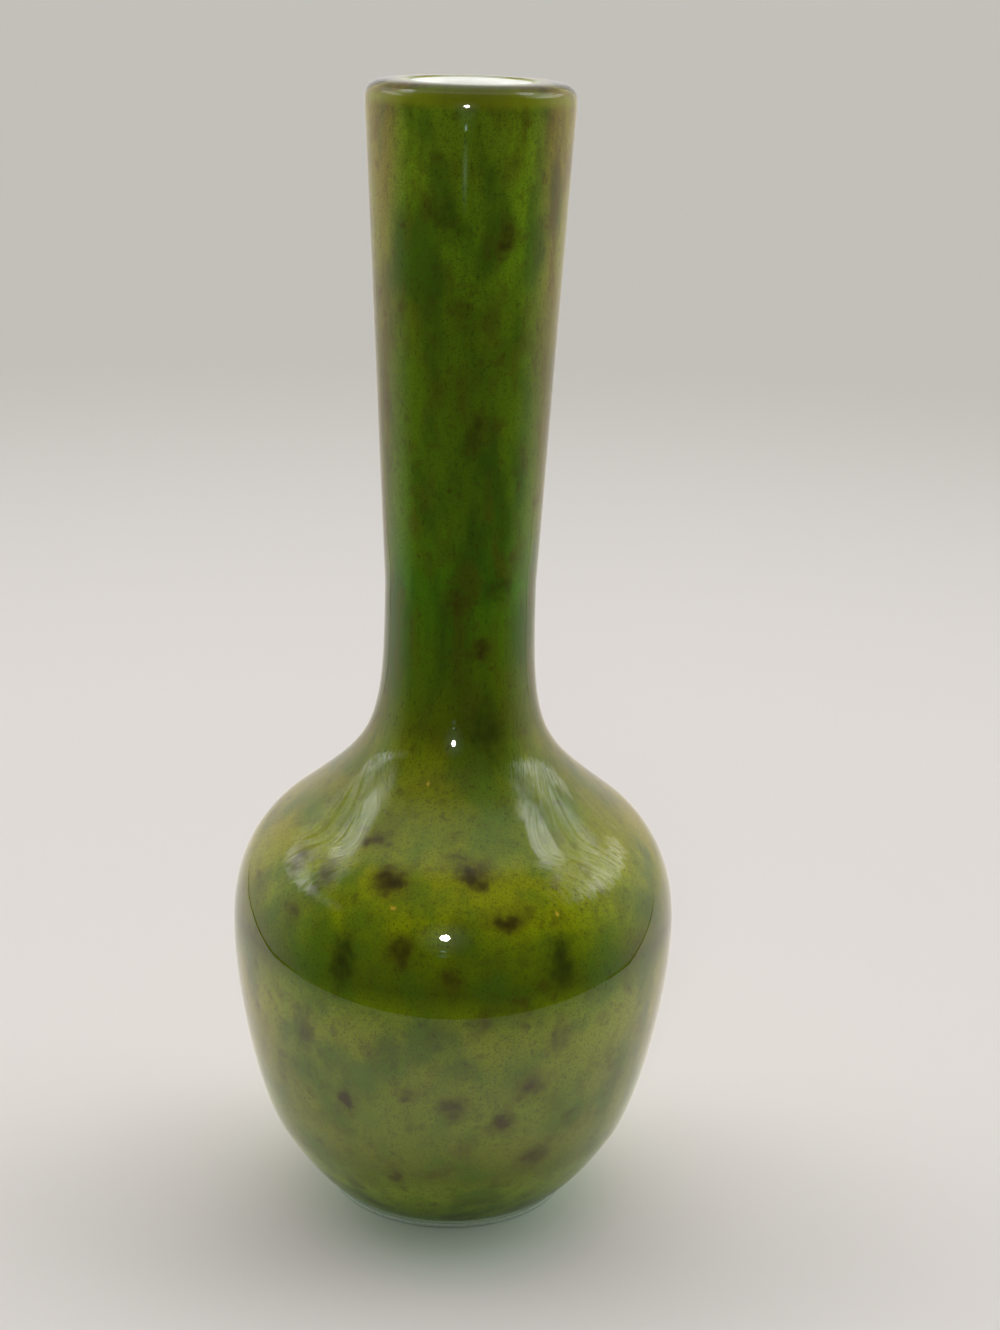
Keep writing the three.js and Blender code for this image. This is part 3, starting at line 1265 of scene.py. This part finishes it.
@dataclass(frozen=True)
class Table:
    """The pale table: endless for the camera, and with its real front edge in reflections."""

    # Both looks hold painted light falloff and a painted shadow round the foot; the mirrored one is the
    # table's paint for reflections.
    seen: TablePaint = TablePaint(
        linear(220, 217, 215), linear(192, 191, 187), (0.25, 0.9), (0.80, 0.93, 0.86), (0.042, 0.018)
    )
    mirrored: TablePaint = TablePaint(
        linear(247, 242, 238), linear(222, 218, 214), (0.2, 0.5), (0.46, 0.50, 0.46), (0.055, 0.022)
    )
    roughness: float = 0.9
    specular: float = 0.1
    # Where the painted shadow round the foot is centred and how it is stretched.
    painted_shadow_centre: Triple = (0.002, -0.008, 0.0)
    painted_shadow_draw: Triple = (1.3, 1.0, 1.0)
    floor_height: float = -0.0001
    top_height: float = -0.0002
    reach: float = 12.0
    front_radius: float = 0.178
    front_centre: float = 0.048
    front_arc: int = 76
    front_step: int = 4
    right_edge: tuple[Span, ...] = ((0.21, 0.05), (0.37, 0.24))
    left_edge: tuple[Span, ...] = ((-0.318, 0.449), (-0.282, 0.253), (-0.23, 0.106))
    far_edge: tuple[Span, ...] = ((4.0, 4.5), (4.0, reach), (-4.0, reach), (-4.0, 6.0))
    # Painted shade on the mirrored table near its front edge, faded out towards the sides.
    edge_painted_shade: float = 0.45
    edge_width: float = 0.07
    front_fade: Span = (0.03, -0.1)
    gap_corners: int = 5
    gap_rise: float = 0.019
    gap_full: float = 0.2
    gap_end: float = 0.4
    # Painted shade: the gap sheet's near-black colour stands for the shadow in the gap.
    gap_painted_shade: Colour = (0.02, 0.02, 0.02)

    def material(self, paint: TablePaint) -> Material:
        """Makes the table's matt pale paint, with painted light falloff that darkens it far from the vase
        and a painted green-tinted shadow near its foot.

        Args:
            paint: The look, of which the mirrored one also gets painted shade towards the front edge.

        Returns:
            The material.
        """
        material, net, matt = new_material("table_paint")
        place = net.place()
        # Painted light falloff: darker far from the vase.
        colour = net.mix(net.step(net.vector("LENGTH", place), *paint.fade), paint.near, paint.far)
        # Painted shadow round the foot, tinted green.
        off_foot = net.vector("SUBTRACT", place, self.painted_shadow_centre)
        from_foot = net.vector("LENGTH", net.vector("MULTIPLY", off_foot, self.painted_shadow_draw))
        tint = net.mix(net.step(from_foot, *paint.painted_shadow_reach), (1.0, 1.0, 1.0), paint.foot_painted_shadow)
        colour = net.vector("MULTIPLY", colour, tint)
        if paint is self.mirrored:
            # Painted shade on the mirrored table towards its front edge.
            off_centre = net.vector("DISTANCE", place, (0.0, self.front_centre, 0.0))
            edge = net.step(off_centre, self.front_radius - self.edge_width, self.front_radius)
            edge = net.times(edge, net.step(net.parts(place)[1], *self.front_fade))
            shade = net.math("MULTIPLY_ADD", edge, self.edge_painted_shade - 1, 1.0)
            colour = net.scale(colour, shade)
        net.fill(matt, Base_Color=colour, Roughness=self.roughness, Specular_IOR_Level=self.specular)
        return material

    def build(self) -> None:
        """Builds the endless floor for the camera and the real table top for reflections."""
        far, low = self.reach, self.floor_height
        corners = [(-far, -far, low), (far, -far, low), (far, far, low), (-far, far, low)]
        floor = new_object("floor", corners, [range(len(corners))])
        put_in_set(floor, self.material(self.seen), (Ray.GLOSSY, Ray.DIFFUSE, Ray.SHADOW))
        arc = [math.radians(angle) for angle in range(-self.front_arc, self.front_arc + 1, self.front_step)]
        radius, centre = self.front_radius, self.front_centre
        front = [(radius * math.sin(angle), centre - radius * math.cos(angle)) for angle in arc]
        edge = (*front, *self.right_edge, *self.far_edge, *self.left_edge)
        corners = [(x, y, self.top_height) for x, y in edge]
        top = new_object("table_top", corners, [range(len(corners))])
        put_in_set(top, self.material(self.mirrored), (Ray.CAMERA, Ray.TRANSMISSION))
        self.build_gap((*front[-self.gap_corners:], *self.right_edge))
        self.build_gap((*self.left_edge, *front[:self.gap_corners]))

    def build_gap(self, edge: Sequence[Span]) -> None:
        """Builds a near-black sheet of painted shade in the gap between the table's edge and the walls, for
        reflections only.

        Args:
            edge: The edge that it stands on.
        """
        points = [(x, y, self.top_height) for x, y in edge]
        for x, y in edge:
            ending = min(1.0, (self.gap_end - y) / (self.gap_end - self.gap_full))
            points.append((x, y, self.gap_rise * math.hypot(x, y) * ending))
        count = len(edge)
        faces = [(at, at + 1, count + at + 1, count + at) for at in range(count - 1)]
        material, net, shade = new_material("gap_painted_shade")
        net.fill(shade, Base_Color=self.gap_painted_shade, Roughness=1.0)
        put_in_set(new_object("table_gap", points, faces), material, BUT_MIRRORED)


@dataclass(frozen=True)
class Glow:
    """A soft oval of light beside the camera that only reflections show."""

    name: str
    place: Triple
    half_width: float
    half_height: float
    radiance: float
    colour: Colour


@dataclass(frozen=True)
class Lamp:
    """The small lamp by the camera that leaves the sharp highlights, and the glows round it."""

    place: Triple = (-0.028, -0.382, 0.2037)
    aim: Triple = (0.0, 0.0, 0.1)
    radius: float = 0.019
    radiance: float = 45.0
    glows: tuple[Glow, ...] = (
        Glow("lamp_glow", (-0.028, -0.382, 0.2037), 0.13, 0.13, 1.1, (0.62, 0.70, 0.72)),
        Glow("lamp_streak", (-0.031, -0.379, 0.1260), 0.017, 0.0110, 7.0, (0.62, 0.95, 0.85)),
        Glow("lamp_haze", (-0.031, -0.379, 0.106), 0.034, 0.018, 1.2, (0.50, 0.80, 0.74)),
    )
    glow_corners: int = 48
    glow_offset: float = 0.01
    glow_falloff: float = 2.0

    def build(self) -> None:
        """Makes the lamp and the glows round it, all turned to the vase."""
        turn = (Vector(self.aim) - Vector(self.place)).to_track_quat("-Z", "Y").to_matrix().to_4x4()
        data = bpy.data.lights.new("camera_lamp", "AREA")
        data.shape = "DISK"
        data.size = 2 * self.radius
        data.energy = self.radiance * math.pi**2 * self.radius**2
        lamp = bpy.data.objects.new("camera_lamp", data)
        lamp.matrix_world = Matrix.Translation(self.place) @ turn
        lamp.visible_camera = False
        bpy.context.scene.collection.objects.link(lamp)
        for glow in self.glows:
            self.build_glow(glow, turn)

    def build_glow(self, glow: Glow, turn: Matrix) -> None:
        """Makes one glow, as an oval sheet whose light fades towards its edge.

        Args:
            glow: The glow.
            turn: The lamp's rotation.
        """
        ways = [math.tau * share for share in shares(self.glow_corners)[:-1]]
        corners = [(math.cos(way), math.sin(way), 0.0) for way in ways]
        material, net, shine = new_material(glow.name)
        material.cycles.emission_sampling = "NONE"
        away = net.math("MINIMUM", net.vector("LENGTH", net.place()), 1.0)
        falloff = net.math("POWER", net.math("SUBTRACT", 1.0, away), self.glow_falloff)
        strength = net.times(falloff, glow.radiance)
        net.fill(shine, Base_Color=(0.0, 0.0, 0.0), Specular_IOR_Level=0.0)
        net.fill(shine, Emission_Color=glow.colour, Emission_Strength=strength)
        sheet = new_object(glow.name, corners, [range(len(corners))])
        put_in_set(sheet, material, BUT_MIRRORED)
        size = Matrix.Diagonal((glow.half_width, glow.half_height, 1.0, 1.0))
        offset = Matrix.Translation((0.0, 0.0, self.glow_offset))
        sheet.matrix_world = Matrix.Translation(glow.place) @ turn @ offset @ size


def main() -> None:
    """Builds the vase and its studio in order and reports each piece."""
    logging.basicConfig(level=logging.INFO, format="%(name)s: %(message)s")
    bpy.context.scene.view_settings.view_transform = "Standard"
    low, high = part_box("clear_casing")
    shape = VaseShape(height=high.z - low.z, belly_radius=(high.x - low.x) / 2)
    effects = SharedEffects()
    for piece in Vase(shape, effects).build():
        log.info("%s: %d faces", piece.name, len(piece.data.polygons))
    Table().build()
    Room().build()
    Lamp().build()
    PhotoCamera().build()
    bpy.context.view_layer.update()


if __name__ == "__main__":
    main()
